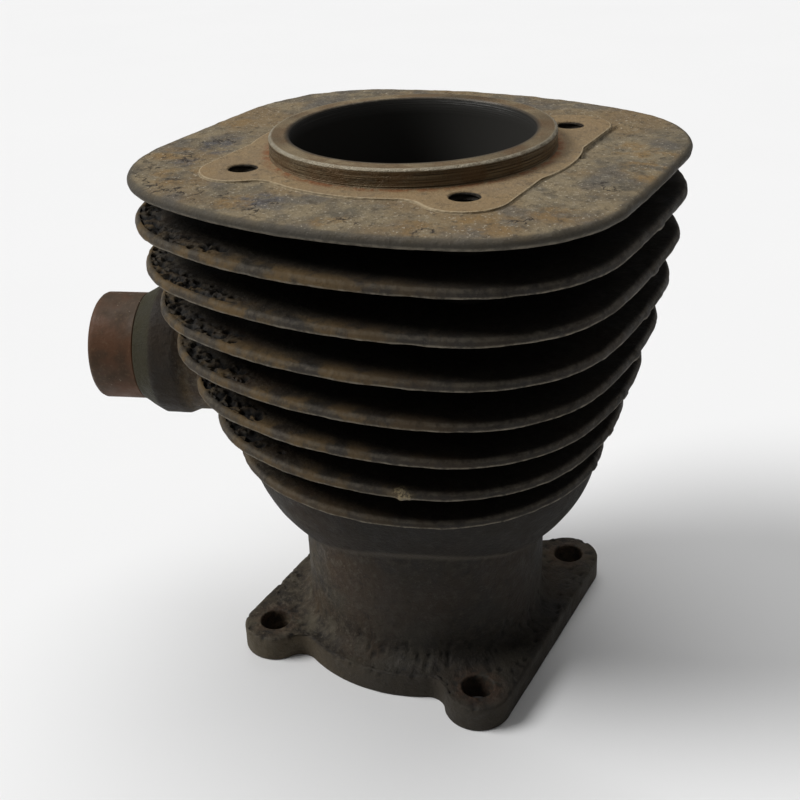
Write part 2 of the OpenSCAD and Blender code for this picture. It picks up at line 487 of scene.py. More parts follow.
def set_coordinates(mesh, points):
    mesh.vertices.foreach_set("co", (points * MM).astype(np.float32).ravel())
    mesh.update()


def paint(mesh, name, values):
    """Stores one number per point for the material to read."""
    layer = mesh.attributes.new(name, "FLOAT", "POINT")
    layer.data.foreach_set("value", np.clip(values, 0, 1).astype(np.float32))


def smooth_shading(mesh, degrees):
    mesh.polygons.foreach_set("use_smooth", np.ones(len(mesh.polygons), bool))
    mesh.set_sharp_from_angle(angle=math.radians(degrees))


# ---------------------------------------------------------------- the casting

def boss_solid():
    profile = [(BOSS_R, BORE_R - 1), (BOSS_R, COLLAR[0] - 2.2), (BOSS_R + 0.5, COLLAR[0] - 1.1),
               (COLLAR_R - 0.3, COLLAR[0] - 0.2), (COLLAR_R, COLLAR[0] + 0.6), (COLLAR_R, COLLAR[1] - 0.6),
               (COLLAR_R - 0.4, COLLAR[1] + 0.2), (STUB_R + 0.25, SEAT - 0.2), (STUB_R - 0.2, SEAT),
               (STUB_R - 2.6, SEAT)]
    return along_port(turned("boss", fine(profile, 0.9), 144))


def post_solid():
    top = CAST_Z - DECK_T / 2
    profile = [(POST_R - 1.2, CAST_Z - POST_LEN), (POST_R - 0.3, CAST_Z - POST_LEN + 0.4),
               (POST_R, CAST_Z - POST_LEN + 1.4), (POST_R, top)]
    return turned("post", fine(profile, 1.2), 72)


def threaded_hole():
    """A tapped hole: the wall's radius rises and falls with height and turns with the angle."""
    r, segments = HEAD_HOLES["hole_r_mm"], 48
    a = np.arange(segments) * 2 * math.pi / segments
    rings = []
    for z in np.arange(HEAD_Z - HEAD_HOLE_DEPTH, HEAD_Z - 0.5, THREAD_PITCH / 6):
        phase = (z / THREAD_PITCH - a / (2 * math.pi)) % 1
        reach = r + THREAD_DEEP * (1 - np.abs(2 * phase - 1))
        rings.append(np.column_stack([reach * np.cos(a), reach * np.sin(a), np.full(segments, z)]))
    for reach, z in ((r + 0.15, HEAD_Z - 0.35), (r + 0.55, HEAD_Z + 0.05), (r + 0.55, HEAD_Z + 2)):
        rings.append(np.column_stack([reach * np.cos(a), reach * np.sin(a), np.full(segments, z)]))
    return stacked("tapped", rings)


def base_hole():
    r = BASE_HOLES["hole_r_mm"]
    profile = [(r, -2), (r, FLANGE_T - 0.5), (r + 0.2, FLANGE_T - 0.15), (r + 0.6, FLANGE_T + 0.1),
               (r + 0.6, FLANGE_T + 3)]
    return turned("drilled", fine(profile, 1.2), 64)


def bore_cutter():
    profile = [(BORE_R + 1.2, -2), (BORE_R + 1.2, 0), (BORE_R, 1.2), (BORE_R, TOP_Z - 0.5),
               (BORE_R + 0.5, TOP_Z), (BORE_R + 0.5, TOP_Z + 2)]
    return turned("bored", fine(profile, 4), 288)


def passage_cutter():
    step = SEAT - INSERT_LEN
    profile = [(PASSAGE_R, 5), (PASSAGE_R, step), (INSERT_R, step), (INSERT_R, SEAT + 2)]
    return along_port(turned("passage", fine(profile, 2.5), 96))


def refine(obj, wanted):
    """Splits the faces that wanted(centres) picks into four, for finer relief."""
    mesh = bmesh.new()
    mesh.from_mesh(obj.data)
    centres = np.array([face.calc_center_median()[:] for face in mesh.faces]) / MM
    mesh.faces.ensure_lookup_table()
    picked = np.nonzero(wanted(centres))[0]
    edges = {edge for i in picked for edge in mesh.faces[i].edges}
    bmesh.ops.subdivide_edges(mesh, edges=list(edges), cuts=1, use_grid_fill=True)
    mesh.to_mesh(obj.data)
    mesh.free()


def fin_number(z):
    """Number of the nearest fin for each height."""
    return np.clip(np.round((FIRST_FIN_Z - z) / FIN_PITCH) + 1, 0, FIN_COUNT)


def bearing(p):
    """Angle round the bore in degrees, from 0 to 360."""
    return np.degrees(np.arctan2(p[:, 1], p[:, 0])) % 360


def near_angle(p, degrees, half_width):
    """1 at a bearing and 0 beyond half_width from it."""
    off = np.abs((bearing(p) - degrees + 180) % 360 - 180)
    return smooth(off, half_width, half_width * 0.4)


def rim_depth(p):
    """How far each point of a plate lies inside that plate's own edge, along its ray."""
    depth = np.full(len(p), 99.0)
    reach = np.hypot(p[:, 0], p[:, 1])
    place = bearing(p) / 360 * N
    number = fin_number(p[:, 2])
    number[p[:, 2] > CAST_Z - DECK_T - 1] = 0
    for k in range(FIN_COUNT + 1):
        edge = np.linalg.norm(plate_outline(k / FIN_COUNT), axis=1)
        here = number == k
        depth[here] = np.interp(place[here], np.arange(N + 1), np.append(edge, edge[0])) - reach[here]
    return depth


def cast_share(p):
    """1 where the surface is as cast, and 0 where it was machined."""
    r = np.hypot(p[:, 0], p[:, 1])
    share = smooth(r, BORE_R + 0.7, BORE_R + 1.4)
    share *= np.where(p[:, 2] > HEAD_Z - 0.25, 0, 1)
    share *= smooth(p[:, 2], 0.1, 0.6)
    spans = ((HEAD_HOLES, HEAD_Z - HEAD_HOLE_DEPTH - 1, HEAD_Z + 1), (BASE_HOLES, -1, FLANGE_T + 1))
    for holes, low, high in spans:
        away = hole_distance(p, holes) - holes["hole_r_mm"]
        inside = (p[:, 2] > low) & (p[:, 2] < high)
        share *= np.where(inside, smooth(away, 0.75, 1.6), 1)
    return share * port_cast_share(p)


def hole_distance(p, holes):
    """Distance from the axis of the nearest hole of a bolt pattern."""
    x = np.abs(p[:, 0]) - holes["spacing_x_mm"] / 2
    y = np.abs(p[:, 1]) - holes["spacing_y_mm"] / 2
    return np.hypot(x, y)


def port_place(p):
    """(distance from the bore axis along the port, distance from the port's own axis)."""
    axis = np.array(PORT_AXIS)
    q = p - np.array([0, 0, PORT_Z])
    along = q @ axis
    return along, np.linalg.norm(q - along[:, None] * axis, axis=1)


def port_cast_share(p):
    """0 on the walls of the port's passage, and 1 elsewhere."""
    along, across = port_place(p)
    inside = (along > BORE_R - 4) & (along < SEAT + 1)
    return np.where(inside, smooth(across, STUB_R - 0.5, STUB_R + 0.5), 1)


def on_fins(p):
    """True on the fins and their gaps, leaving out the port."""
    along, across = port_place(p)
    port = (along > NECK_R) & (across < COLLAR_R + 0.8)
    return (p[:, 2] > BELLY_Z - 3) & (p[:, 2] < CAST_Z - DECK_T - 0.5) & ~port


def upper_face(p):
    """True on the upper side of a fin."""
    number = fin_number(p[:, 2])
    return on_fins(p) & (number > 0) & (p[:, 2] > FIRST_FIN_Z - (number - 1) * FIN_PITCH + 0.6)


def left_pits(p):
    """Where the plates' left corner is eaten away: 1 in the middle of the patch."""
    depth = rim_depth(p)
    band = smooth(depth, 1.0, 2.0) * smooth(depth, 9, 4)
    patch = band * near_angle(p, *PITTED_SIDE) * smooth(fin_number(p[:, 2]), 7.5, 5)
    return np.where(upper_face(p), patch, 0)


def on_cast_face(p):
    """1 on the top plate's cast upper face."""
    return np.where(np.abs(p[:, 2] - CAST_Z) < 0.5, 1, 0)


def relief(p):
    """How far the cast surface stands out from the plain shape, and how deep its pits are."""
    out = 0.13 * fractal(p, 7, 1) + 0.08 * fractal(p, 2.2, 5)
    tip = np.where(on_fins(p), smooth(rim_depth(p), 2.2, 0.8), 0)
    out += tip * (0.12 * fractal(p, 9, 9) + 0.08 * value_noise(p, 2.4, 12))
    flash = sum(near_angle(p, *line) for line in FLASH_LINES)
    out += tip * flash * 0.35
    foot = smooth(p[:, 2], 30, 12) * smooth(p[:, 2], -1, 2)
    out += foot * 0.08 * fractal(p, 2.4, 15)
    # small pits round the foot of the neck and on the flange
    scabs = smooth(p[:, 2], 17, 11) * smooth(p[:, 2], FLANGE_T - 1.5, FLANGE_T - 0.5)
    scabs *= smooth(cell_distance(p, 2.6, 70) + 0.25 * value_noise(p, 1.2, 71), 0.4, 0.14)
    pit = np.maximum(sponge(p) * 1.2, 0.45 * scabs)
    out += on_cast_face(p) * 0.12 * fractal(p, 4, 44)
    return out, np.maximum(pit, on_cast_face(p) * 0.8 * step_crack(p))


def sponge(p):
    """Ragged holes that run into each other, in the patch that left_pits gives."""
    patch = left_pits(p)
    made = np.zeros(len(p))
    picked = patch > 0.02
    q = p[picked]
    coarse = smooth(cell_distance(q, 2.5, 21) + 0.3 * value_noise(q, 1.1, 33), 0.62, 0.3)
    small = smooth(cell_distance(q, 1.3, 25), 0.5, 0.25) * 0.6
    keep = smooth(patch[picked] + 0.45 * fractal(q, 5, 30), 0.2, 0.55)
    made[picked] = np.maximum(coarse, small) * keep
    return made


def spots(p, places):
    """1 inside a few soft round places, each (x, y, size)."""
    inside = np.zeros(len(p))
    for x, y, size in places:
        away = np.hypot(p[:, 0] - x, p[:, 1] - y)
        inside = np.maximum(inside, smooth(away, size, size * 0.45))
    return inside


def step_crack(p):
    """1 along the crack at the recess's lower edge."""
    start, end = np.array(RECESS_STEP[0]), np.array(RECESS_STEP[1])
    along = end - start
    share = np.clip((p[:, :2] - start) @ along / (along @ along), 0, 1)
    away = np.linalg.norm(p[:, :2] - start - share[:, None] * along, axis=1)
    return smooth(away + 0.2 * value_noise(p, 1.5, 48), 0.9, 0.4)


def recess(p):
    """The rough low area of the top plate beside the pad's straight side: 1 inside."""
    x, y = p[:, 0], p[:, 1]
    side = HEAD_HOLES["spacing_x_mm"] / 2 + PAD_LOBE_R
    lower_edge = 6.4 + (x - 41) * 0.7
    inside = smooth(x, side + 0.1, side + 0.5) * smooth(y - lower_edge, 0, 0.8)
    inside *= smooth(y, 39, 36) * smooth(x, 58, 47)
    return inside * on_cast_face(p)


def lump(p):
    """1 inside the blob of old filler on the front edge of the sixth fin."""
    away = np.linalg.norm((p - np.array(LUMP)) / np.array(LUMP_SIZE), axis=1)
    return smooth(away + 0.25 * value_noise(p, 1.6, 61), 1, 0.5)


def rough_casting(obj):
    """Gives the casting its relief and paints its masks, both worked out from the plain shape."""
    mesh = obj.data
    p, n = coordinates(mesh), normals(mesh)
    cast = cast_share(p)
    out, pit = relief(p)
    pit *= cast
    blob = lump(p)
    moved = p + n * (out * cast - pit + blob * (0.6 + 0.7 * fractal(p, 1.3, 62)))[:, None]
    low = recess(p) * cast
    moved[:, 2] -= low * (0.6 + 0.2 * fractal(p, 3, 50))
    set_coordinates(mesh, moved)
    paint_edges(mesh, p)
    paint_surfaces(mesh, p, cast)
    paint_dirt(mesh, p, pit)


def belly_edge(p):
    """How far the belly stands out from the neck at each point, in millimetres; below 0 on the neck."""
    drop = np.clip((p[:, 2] - BELLY_Z) / BELLY_HALF[2], -1, 1)
    shrink = np.sqrt(1 - drop ** 2)
    turned = np.arctan2(p[:, 1], p[:, 0]) - PORT_TURN
    swell = 1 / np.sqrt((np.cos(turned) / BELLY_HALF[0]) ** 2 + (np.sin(turned) / BELLY_HALF[1]) ** 2)
    return np.where(p[:, 2] < BELLY_Z, shrink * swell - NECK_R, 9)


def paint_edges(mesh, p):
    """Worn lines on the spigot's bevel and the pad's outline; light lines along fin and plate corners,
    partly wear and partly painted highlight; a painted highlight along the belly's foot; painted shade on
    the belly's lower half.
    """
    depth, radius = rim_depth(p), np.hypot(p[:, 0], p[:, 1])
    height = p[:, 2] - FIRST_FIN_Z + (fin_number(p[:, 2]) - 1) * FIN_PITCH
    corner = smooth(np.abs(height + 0.87), 0.45, 0.15) + 0.3 * smooth(np.abs(height - 0.8), 0.5, 0.2)
    fin_line = np.where(on_fins(p) & (depth < 0.8), corner, 0)
    plate_line = np.where(depth < 1.0, smooth(np.abs(p[:, 2] - CAST_Z + DECK_T - 0.8), 0.5, 0.2), 0)
    bevel = (radius < SPIGOT_R + 0.2) & (radius > SPIGOT_R - 0.7) & (p[:, 2] > TOP_Z - 0.55)
    pad_line = (p[:, 2] > CAST_Z + 0.02) & (p[:, 2] < HEAD_Z - 0.02) & (radius > SPIGOT_R + 2)
    pad_line &= hole_distance(p, HEAD_HOLES) > HEAD_HOLES["hole_r_mm"] + 2
    # partly painted highlight: light lines along the fins' and the plate's corners, where the edges catch
    # the light, with some wear
    paint(mesh, "wear_and_highlight", fin_line + 0.8 * plate_line)
    paint(mesh, "bright", bevel & (radius > BORE_R + 1))
    paint(mesh, "pad_line", pad_line)
    rise = belly_edge(p)
    # painted highlight: a light line where the belly meets the neck, standing in for the lit edge of a rim
    paint(mesh, "belly_foot_highlight", smooth(np.abs(rise - 0.3), 0.8, 0.3) * smooth(radius, NECK_R + 4, NECK_R + 2))
    # painted shade: the belly's lower half, under the fins, is darkened
    paint(mesh, "belly", smooth(rise, 0.3, 1.5) * smooth(p[:, 2], BELLY_Z + 1, BELLY_Z - 1)
          * smooth(p[:, 2], 14, 20))


def paint_surfaces(mesh, p, cast):
    """Where each kind of surface lies: top plate, cut faces, spigot, rims, tips, bore, seat, collar."""
    depth, fins = rim_depth(p), on_fins(p)
    radius = np.hypot(p[:, 0], p[:, 1])
    deck = smooth(p[:, 2], CAST_Z - 1.6, CAST_Z - 0.3) * smooth(radius, BORE_R + 0.3, BORE_R + 0.9)
    in_hole = hole_distance(p, HEAD_HOLES) < HEAD_HOLES["hole_r_mm"] + 0.5
    deck = np.where(in_hole & (p[:, 2] < HEAD_Z - 0.3), 0, deck)
    paint(mesh, "deck", deck)
    paint(mesh, "machined", 1 - cast)
    paint(mesh, "turned", (p[:, 2] > HEAD_Z + 0.05) & (radius < SPIGOT_R + 0.2))
    paint(mesh, "rim", np.where(p[:, 2] > CAST_Z - DECK_T - 0.3, smooth(depth, 1.8, 0.6), 0))
    paint(mesh, "tip", np.where(fins, smooth(depth, 1.1, 0.6), 0))
    paint(mesh, "bore", smooth(radius, BORE_R + 0.8, BORE_R + 0.3))
    along, across = port_place(p)
    boss = smooth(across, COLLAR_R + 2, COLLAR_R + 1)
    paint(mesh, "seat", smooth(along, COLLAR[1] - 0.4, COLLAR[1] + 0.4) * boss)
    paint(mesh, "collar", smooth(along, COLLAR[0] - 1.5, COLLAR[0] + 1) * boss)


def paint_dirt(mesh, p, pit):
    """Painted shade between the fins and on the right side, rust, smudges, cracks, filler, a painted
    highlight on the flange sides and the dark in the pits.
    """
    depth, fins = rim_depth(p), on_fins(p)
    radius, number = np.hypot(p[:, 0], p[:, 1]), fin_number(p[:, 2])
    paint(mesh, "pit", smooth(pit, 0.15, 0.6))
    # painted shade: darker the deeper a point lies between the fins, where little light reaches
    paint(mesh, "gap_shade", np.where(fins, smooth(depth, 2, 12), 0))
    # painted shade: darker on the right side, away from the key lamp
    paint(mesh, "right_side_shade", near_angle(p, *SHADED_SIDE))
    left = near_angle(p, *OCHRE_SIDE) * np.where(fins, smooth(depth, 6, 0.8), 0)
    along, across = port_place(p)
    boss = (across < BOSS_R + 1) & (along > NECK_R + 6) & (along < COLLAR[0] - 1)
    paint(mesh, "ochre", left * smooth(number, 9, 4) + 0.3 * boss)
    paint(mesh, "filler", lump(p))
    foot = smooth(radius, SPIGOT_R + 2.8, SPIGOT_R + 0.2) * np.where(np.abs(p[:, 2] - HEAD_Z) < 0.7, 1, 0)
    hole = smooth(hole_distance(p, BASE_HOLES), EAR_R, EAR_R - 5) * smooth(p[:, 2], FLANGE_T + 1, FLANGE_T)
    paint(mesh, "orange", np.maximum(0.8 * foot, 0.09 * hole))
    # painted highlight: the flange's sides, away from the holes' edges, are lightened
    side = smooth(hole_distance(p, BASE_HOLES), EAR_R - 1.2, EAR_R - 0.4)
    paint(mesh, "flange_side_highlight", side * smooth(p[:, 2], FLANGE_T, FLANGE_T - 1))
    upper = np.where(p[:, 2] > CAST_Z - 1.5, 1, 0)
    paint(mesh, "smudge", spots(p, SMUDGES) * upper)
    paint(mesh, "rust", spots(p, RUST_SPOTS) * upper)
    paint(mesh, "cracked", spots(p, CRACKS) * on_cast_face(p))
    paint(mesh, "foot", smooth(p[:, 2], 32, 10) * smooth(p[:, 2], BELLY_Z, BELLY_Z - 5))


def build_casting():
    """The barrel: skin, boss and columns joined, holes cut, then the relief and the masks."""
    casting = stacked("cylinder_barrel_casting", skin_rings())
    boolean(casting, boss_solid(), "UNION")
    boolean(casting, at_holes(post_solid, HEAD_HOLES), "UNION")
    boolean(casting, at_holes(threaded_hole, HEAD_HOLES), "DIFFERENCE")
    boolean(casting, at_holes(base_hole, BASE_HOLES), "DIFFERENCE")
    boolean(casting, bore_cutter(), "DIFFERENCE")
    boolean(casting, passage_cutter(), "DIFFERENCE")
    refine(casting, lambda centres: (left_pits(centres) > 0.1) | (on_cast_face(centres) > 0))
    rough_casting(casting)
    smooth_shading(casting.data, 50)
    return casting


# ---------------------------------------------------------------- the stub

def build_stub():
    start, end = SEAT - INSERT_LEN, STUB_REACH
    profile = [(STUB_BORE_R, start), (INSERT_R, start), (INSERT_R, SEAT), (STUB_R - 0.25, SEAT + 0.02),
               (STUB_R, SEAT + 0.3), (STUB_R, end - 1.0), (STUB_R - 0.25, end - 0.45), (STUB_R - 0.8, end),
               (STUB_BORE_R + 0.5, end), (STUB_BORE_R, end - 0.5), (STUB_BORE_R, start + 0.5)]
    stub = along_port(turned("port_stub_tube", fine(profile, 0.8)[:-1], 160, closed=True))
    mesh = stub.data
    p, n = coordinates(mesh), normals(mesh)
    along, across = port_place(p)
    outside = smooth(across, STUB_R - 0.6, STUB_R - 0.2) * smooth(along, SEAT + 0.2, SEAT + 0.8)
    out = outside * (0.05 * fractal(p, 5, 60) - 0.05)
    set_coordinates(mesh, p + n * out[:, None])
    smooth_shading(mesh, 40)
    return stub


# ---------------------------------------------------------------- materials

# Colours of the bare casting, and of the painted shade and highlight on it
DARK_IRON = (0.024, 0.0185, 0.0125)
IRON = (0.052, 0.041, 0.027)
BROWN_IRON = (0.062, 0.035, 0.016)
DUSTY_IRON = (0.09, 0.075, 0.053)
# soot in random patches, and also the painted shade on the belly
SOOT_AND_SHADE = (0.012, 0.0095, 0.0075)
DARK_GRAIN = (0.008, 0.006, 0.005)
LIGHT_GRAIN = (0.17, 0.145, 0.105)
DARK_STREAK = (0.012, 0.0095, 0.008)
GREY_CLOUD = (0.085, 0.073, 0.05)
# painted highlight for the flange's sides
FLANGE_SIDE_HIGHLIGHT = (0.085, 0.065, 0.038)
# painted shade for the right side
SIDE_SHADE = (0.0125, 0.011, 0.0095)

# Colours of the top plate
DARK_DECK = (0.1, 0.084, 0.058)
TAN_DECK = (0.205, 0.163, 0.1)
BROWN_DECK = (0.18, 0.122, 0.06)
GREY_DECK = (0.098, 0.088, 0.074)
YELLOW_RUST = (0.2, 0.122, 0.045)
SMUDGE = (0.075, 0.071, 0.074)
DARK_SPOT = (0.058, 0.044, 0.028)
PALE_SPOT = (0.25, 0.205, 0.14)
PALE_SPECK = (0.45, 0.4, 0.31)
DARK_SPECK = (0.04, 0.031, 0.021)
CRACK = (0.016, 0.01, 0.006)
CUT_FACE = (0.25, 0.17, 0.085)
PAD_EDGE = (0.4, 0.32, 0.205)

# Colours of edges and gaps: light edge lines that are partly painted highlight, and painted shade in the
# gaps
RIM = (0.053, 0.046, 0.034)
FIN_EDGE = (0.042, 0.031, 0.02)
# painted shade for the gaps between the fins
FIN_GAP_SHADE = (0.0125, 0.01, 0.007)
DARK_OCHRE = (0.05, 0.037, 0.02)
OCHRE = (0.12, 0.076, 0.03)
FILLER = (0.26, 0.205, 0.115)
# light colour for worn edges, which also stands in for painted highlight
WEAR_AND_HIGHLIGHT = (0.17, 0.147, 0.11)

# Colours of the spigot ring, port and bore, of the lines beside them, and of the painted highlight line at
# the belly's foot
ORANGE_RUST = (0.2, 0.068, 0.02)
# painted highlight for the belly's foot
BELLY_FOOT_HIGHLIGHT = (0.085, 0.073, 0.056)
DARK_GROOVE = (0.05, 0.033, 0.016)
TURNED_IRON = (0.25, 0.19, 0.11)
BROWN_RING = (0.13, 0.076, 0.034)
BRIGHT_EDGE = (0.28, 0.245, 0.18)
DARK_COLLAR = (0.006, 0.005, 0.0035)
COLLAR_BROWN = (0.026, 0.017, 0.01)
DARK_SEAT = (0.016, 0.0145, 0.005)
OLIVE_SEAT = (0.04, 0.035, 0.016)
BORE_GREY = (0.038, 0.0365, 0.033)
PIT = (0.006, 0.005, 0.004)

# Colours of the stub
RED_RUST = (0.078, 0.033, 0.0135)
BROWN_RUST = (0.052, 0.031, 0.0165)
DARK_RUST = (0.038, 0.023, 0.012)
RUST_SPECK = (0.14, 0.088, 0.047)
SCRATCH = (0.34, 0.29, 0.22)


class Nodes:
    """Short calls for building a material's node tree."""

    def __init__(self, name):
        self.material = bpy.data.materials.new(name)
        self.material.use_nodes = True
        self.tree = self.material.node_tree
        self.shader = self.tree.nodes["Principled BSDF"]
        self.place = self.tree.nodes.new("ShaderNodeTexCoord").outputs["Object"]

    def link(self, source, socket):
        if isinstance(source, (int, float)):
            socket.default_value = source
        elif isinstance(source, tuple):
            socket.default_value = (*source, 1) if len(source) == 3 else source
        else:
            self.tree.links.new(source, socket)

    def attribute(self, name):
        node = self.tree.nodes.new("ShaderNodeAttribute")
        node.attribute_name = name
        return node.outputs["Fac"]

    def noise(self, size_mm, detail=4, rough=0.55, stretch=(1, 1, 1), seed=0):
        """Noise from 0 to 1 with patches about size_mm across."""
        scaled = self.tree.nodes.new("ShaderNodeMapping")
        scaled.inputs["Scale"].default_value = stretch
        scaled.inputs["Location"].default_value = (seed * 1.7, seed * 0.9, seed * 2.3)
        self.tree.links.new(self.place, scaled.inputs["Vector"])
        node = self.tree.nodes.new("ShaderNodeTexNoise")
        node.inputs["Scale"].default_value = 1 / (size_mm * MM)
        node.inputs["Detail"].default_value = detail
        node.inputs["Roughness"].default_value = rough
        self.tree.links.new(scaled.outputs["Vector"], node.inputs["Vector"])
        return node.outputs["Fac"]

    def step(self, value, low, high, to_low=0.0, to_high=1.0):
        """A soft step of value from low to high."""
        node = self.tree.nodes.new("ShaderNodeMapRange")
        node.interpolation_type = "SMOOTHSTEP"
        self.link(value, node.inputs["Value"])
        for key, number in (("From Min", low), ("From Max", high), ("To Min", to_low), ("To Max", to_high)):
            node.inputs[key].default_value = number
        return node.outputs["Result"]

    def band(self, value, middle, half_width):
        """1 where the value is close to middle, which draws a thin winding line."""
        below = self.step(value, middle - half_width, middle)
        return self.product(below, self.step(value, middle + half_width, middle))

    def math(self, operation, a, b):
        node = self.tree.nodes.new("ShaderNodeMath")
        node.operation = operation
        node.use_clamp = True
        self.link(a, node.inputs[0])
        self.link(b, node.inputs[1])
        return node.outputs[0]

    def share(self, value, part):
        """The value times a fixed part of it."""
        return self.math("MULTIPLY", value, part)

    def product(self, a, b):
        return self.math("MULTIPLY", a, b)

    def blend(self, share, a, b):
        """A number that goes from a to b."""
        node = self.tree.nodes.new("ShaderNodeMix")
        node.data_type = "FLOAT"
        self.link(share, node.inputs["Factor"])
        self.link(a, node.inputs["A"])
        self.link(b, node.inputs["B"])
        return node.outputs["Result"]

    def mix(self, share, a, b):
        node = self.tree.nodes.new("ShaderNodeMix")
        node.data_type = "RGBA"
        self.link(share, node.inputs["Factor"])
        self.link(a, node.inputs[6])
        self.link(b, node.inputs[7])
        return node.outputs[2]

    def bump(self, height, distance_mm, strength=1.0, normal=None):
        node = self.tree.nodes.new("ShaderNodeBump")
        node.inputs["Strength"].default_value = strength
        node.inputs["Distance"].default_value = distance_mm * MM
        self.link(height, node.inputs["Height"])
        if normal is not None:
            self.link(normal, node.inputs["Normal"])
        return node.outputs["Normal"]

    def finish(self, color, roughness, normal, metallic=0.0, specular=0.5):
        self.link(color, self.shader.inputs["Base Color"])
        self.link(roughness, self.shader.inputs["Roughness"])
        self.link(normal, self.shader.inputs["Normal"])
        self.link(metallic, self.shader.inputs["Metallic"])
        self.link(specular, self.shader.inputs["Specular IOR Level"])
        return self.material


def iron_color(m, broad, middle, small, grain):
    """Dark oxidised iron, browner towards the left, darkened by painted shade on the right side and on the
    belly, and lightened by a painted highlight on the flange's sides.
    """
    iron = m.mix(m.step(middle, 0.38, 0.62), DARK_IRON, IRON)
    iron = m.mix(m.share(m.step(broad, 0.48, 0.64), 0.6), iron, BROWN_IRON)
    iron = m.mix(m.share(m.step(small, 0.5, 0.64), 0.7), iron, DUSTY_IRON)
    iron = m.mix(m.share(m.step(small, 0.44, 0.34), 0.6), iron, SOOT_AND_SHADE)
    iron = m.mix(m.share(m.step(grain, 0.38, 0.3), 0.6), iron, DARK_GRAIN)
    iron = m.mix(m.share(m.step(grain, 0.62, 0.72), 0.6), iron, LIGHT_GRAIN)
    streaks = m.noise(2.2, 5, 0.65, stretch=(1.0, 1.0, 0.16), seed=13)
    streak_show = m.product(m.attribute("foot"), m.step(streaks, 0.52, 0.68))
    iron = m.mix(m.share(streak_show, 0.3), iron, DARK_STREAK)
    clouds = m.product(m.attribute("foot"), m.step(m.noise(10, 6, 0.68, seed=18), 0.48, 0.6))
    iron = m.mix(m.share(clouds, 0.6), iron, GREY_CLOUD)
    # painted highlight on the flange's sides
    iron = m.mix(m.share(m.attribute("flange_side_highlight"), 0.6), iron, FLANGE_SIDE_HIGHLIGHT)
    # painted shade on the belly under the fins
    iron = m.mix(m.share(m.attribute("belly"), 0.6), iron, SOOT_AND_SHADE)
    # painted shade on the right side
    return m.mix(m.share(m.attribute("right_side_shade"), 0.7), iron, SIDE_SHADE)


def deck_color(m, broad, middle, small, grain):
    """The top plate: tan and grey with rust spots, smudges and fine light and dark specks."""
    tan = m.mix(m.step(middle, 0.36, 0.62), DARK_DECK, TAN_DECK)
    tan = m.mix(m.share(m.step(broad, 0.44, 0.6), 0.75), tan, BROWN_DECK)
    tan = m.mix(m.share(m.step(m.noise(14, 4, seed=11), 0.5, 0.62), 0.7), tan, GREY_DECK)
    patches = m.step(m.noise(7, 5, 0.65, seed=12), 0.42, 0.6)
    rust = m.product(m.math("ADD", m.attribute("rust"), 0.12), patches)
    tan = m.mix(m.share(rust, 0.75), tan, YELLOW_RUST)
    smudge = m.product(m.attribute("smudge"), m.step(m.noise(4, 5, 0.7, seed=15), 0.4, 0.6))
    tan = m.mix(m.share(smudge, 0.8), tan, SMUDGE)
    tan = m.mix(m.share(m.step(small, 0.53, 0.66), 0.75), tan, DARK_SPOT)
    tan = m.mix(m.share(m.step(small, 0.43, 0.33), 0.55), tan, PALE_SPOT)
    tan = m.mix(m.share(m.step(grain, 0.6, 0.7), 0.65), tan, PALE_SPECK)
    tan = m.mix(m.share(m.step(grain, 0.38, 0.3), 0.6), tan, DARK_SPECK)
    crack = m.product(m.attribute("cracked"), m.step(m.noise(6, 3, seed=17), 0.43, 0.5))
    crack = m.product(crack, m.band(m.noise(6, 4, 0.6, seed=16), 0.5, 0.035))
    tan = m.mix(crack, tan, CRACK)
    machined = m.product(m.attribute("machined"), m.step(small, 0.7, 0.45, 0.3, 0.7))
    tan = m.mix(machined, tan, CUT_FACE)
    pad_line = m.product(m.attribute("pad_line"), m.step(small, 0.35, 0.58, 0.25, 0.8))
    return m.mix(pad_line, tan, PAD_EDGE)


def edge_color(m, color, middle, small):
    """Colours along the fins' and plates' edges, partly painted highlight, and painted shade between the
    fins.
    """
    color = m.mix(m.share(m.attribute("rim"), 0.75), color, RIM)
    tip_show = m.product(m.attribute("tip"), m.step(small, 0.36, 0.58, 0.3, 0.6))
    # painted shade: the fin tips' colour fades on the shaded right side
    tip_show = m.product(tip_show, m.blend(m.attribute("right_side_shade"), 1.0, 0.3))
    color = m.mix(tip_show, color, FIN_EDGE)
    # painted shade between the fins
    color = m.mix(m.share(m.attribute("gap_shade"), 0.8), color, FIN_GAP_SHADE)
    ochre = m.product(m.attribute("ochre"), m.step(middle, 0.36, 0.56, 0.1, 0.8))
    ochre_color = m.mix(m.step(middle, 0.42, 0.6), DARK_OCHRE, OCHRE)
    color = m.mix(ochre, color, ochre_color)
    filler = m.product(m.attribute("filler"), m.step(m.noise(1.2, 4, 0.7, seed=19), 0.42, 0.56, 0.1, 1.0))
    color = m.mix(filler, color, FILLER)
    # light corner lines: partly wear, partly painted highlight
    wear_and_highlight = m.product(m.attribute("wear_and_highlight"), m.step(small, 0.36, 0.62, 0.15, 0.9))
    return m.mix(wear_and_highlight, color, WEAR_AND_HIGHLIGHT)


